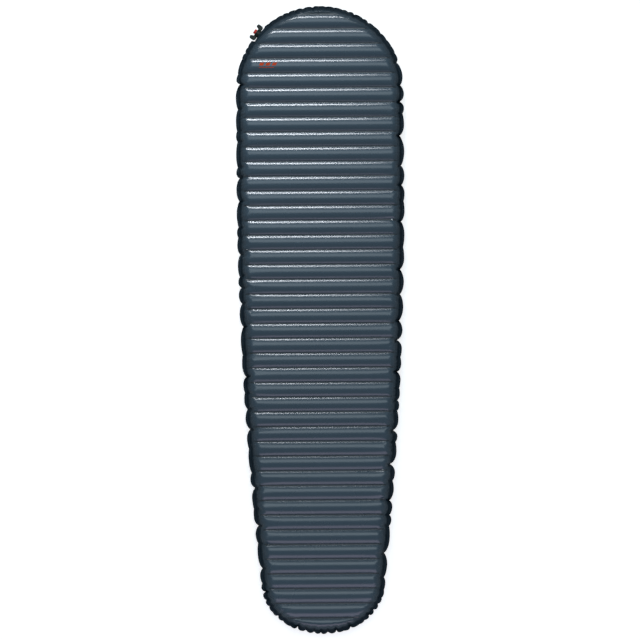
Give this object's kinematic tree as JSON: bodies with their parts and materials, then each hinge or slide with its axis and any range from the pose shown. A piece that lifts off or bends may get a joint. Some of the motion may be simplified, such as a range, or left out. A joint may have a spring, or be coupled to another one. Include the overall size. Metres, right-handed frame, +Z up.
{
  "type": "inflatable sleeping pad",
  "caption": "Mummy-shaped inflatable sleeping pad with tubes across it, a folded film core and a quarter-turn wing valve at the head.",
  "frame": {"origin": "middle of the inflated pad's box, on the ground", "axes": "+Y from the foot to the head, +X to the right seen from above with the head up, +Z up"},
  "size_m": [0.49, 1.83, 0.0636],
  "materials": {
    "top_fabric": "satin",
    "bottom_fabric": "satin",
    "core_film": "satin",
    "boat_plastic": "satin",
    "valve_plastic": "satin",
    "seal_rubber": "matte",
    "seat_plastic": "satin",
    "silicone": "satin",
    "red_plastic": "satin",
    "pin_steel": "satin",
    "wing_plastic": "satin",
    "spring_steel": "satin"
  },
  "bodies": {
    "pad": {"top_sheet": "top_fabric", "bottom_sheet": "bottom_fabric", "core_upper_film": "core_film", "core_middle_film": "core_film", "core_lower_film": "core_film", "valve_boat": "boat_plastic", "valve_barrel": "valve_plastic", "barrel_o_ring": "seal_rubber", "collar_o_ring": "seal_rubber", "valve_seat": "seat_plastic", "snap_ring": "spring_steel"},
    "collar": {"wing_collar": "wing_plastic"},
    "plunger_unit": {"plunger": "red_plastic", "drive_pins": "pin_steel", "check_flap": "silicone", "flap_button": "seat_plastic"}
  },
  "joints": [
    {"name": "wing_turn", "type": "hinge", "parent": "pad", "child": "collar", "pos_m": [-0.17406, 0.83232, 0.0316], "axis": [-0.8141, 0.5807, 0], "range_deg": [0, 90]},
    {"name": "plunger_slide", "type": "slide", "parent": "pad", "child": "plunger_unit", "axis": [0.8141, -0.5807, 0], "range_m": [0, 0.003]}
  ],
  "couplings": [
    {"joint": "plunger_slide", "follows": "wing_turn", "m_per_rad": 0.0019099}
  ]
}
